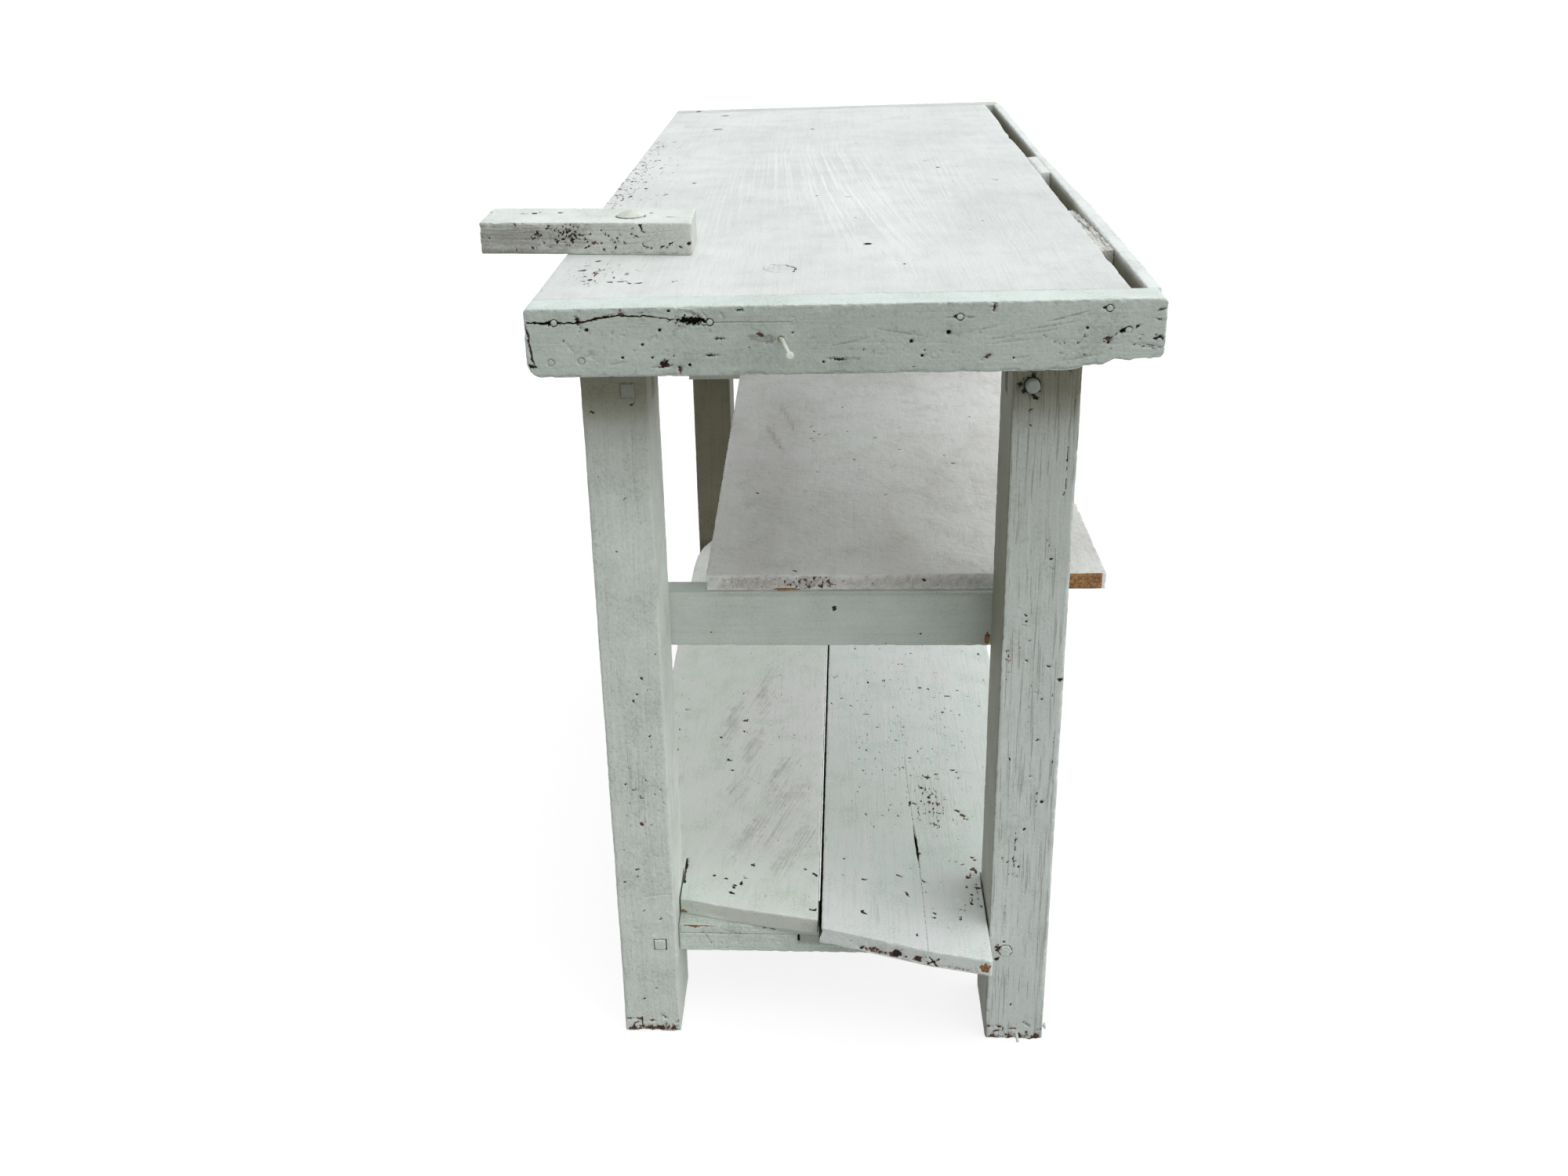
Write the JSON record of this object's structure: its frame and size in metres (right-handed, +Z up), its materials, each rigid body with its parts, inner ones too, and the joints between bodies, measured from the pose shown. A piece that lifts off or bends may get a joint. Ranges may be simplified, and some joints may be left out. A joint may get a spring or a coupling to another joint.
{
  "type": "workbench",
  "caption": "Old painted wooden workbench with a turning stop bar, tool slots along the back of the top, a loose shelf and a plank shelf above the floor.",
  "frame": {"origin": "middle of the bounding box, on the floor", "axes": "+X along the bench towards the end with the turning bar, +Y towards the tool rail at the back, +Z up"},
  "size_m": [1.384, 0.6174, 0.876],
  "materials": {
    "painted_wood": "chalky brushed paint, worn through in places",
    "bare_wood": "rough, splintered",
    "dark_steel": "dull, rusted",
    "painted_steel": "painted over, worn bright on the dome"
  },
  "bodies": {
    "bench": {"top_slab": "painted_wood", "end_cap_near": "painted_wood", "end_cap_far": "painted_wood", "tool_rail": "painted_wood", "spacer_rough": "bare_wood", "spacer_flush": "painted_wood", "leg_front_near": "painted_wood", "leg_back_near": "painted_wood", "leg_front_far": "painted_wood", "leg_back_far": "painted_wood", "upper_rail_near": "painted_wood", "upper_rail_far": "painted_wood", "lower_rail_near": "painted_wood", "lower_rail_far": "painted_wood", "shelf_bearer_near": "painted_wood", "shelf_bearer_far": "painted_wood", "shelf_board": "painted_wood", "plank_front": "painted_wood", "plank_back": "painted_wood", "pegs_upper_square": "painted_wood", "pegs_upper_round": "painted_wood", "pegs_lower_square": "painted_wood", "pegs_lower_hex": "painted_wood", "cap_nails_near": "dark_steel", "cap_nails_far": "dark_steel", "rail_nails": "dark_steel", "slab_nails": "dark_steel", "slab_plugs": "bare_wood", "bearer_nails": "dark_steel", "plank_nails": "dark_steel", "bent_nail": "dark_steel", "foot_nails": "dark_steel", "bolt_washer": "dark_steel"},
    "swing": {"swing_bar": "painted_wood", "carriage_bolt": "painted_steel", "bolt_nut": "dark_steel"}
  },
  "joints": [
    {"name": "bar_swing", "type": "hinge", "parent": "bench", "child": "swing", "pos_m": [0.427, -0.16026, 0.84], "axis": [0, 0, 1], "continuous": true}
  ]
}
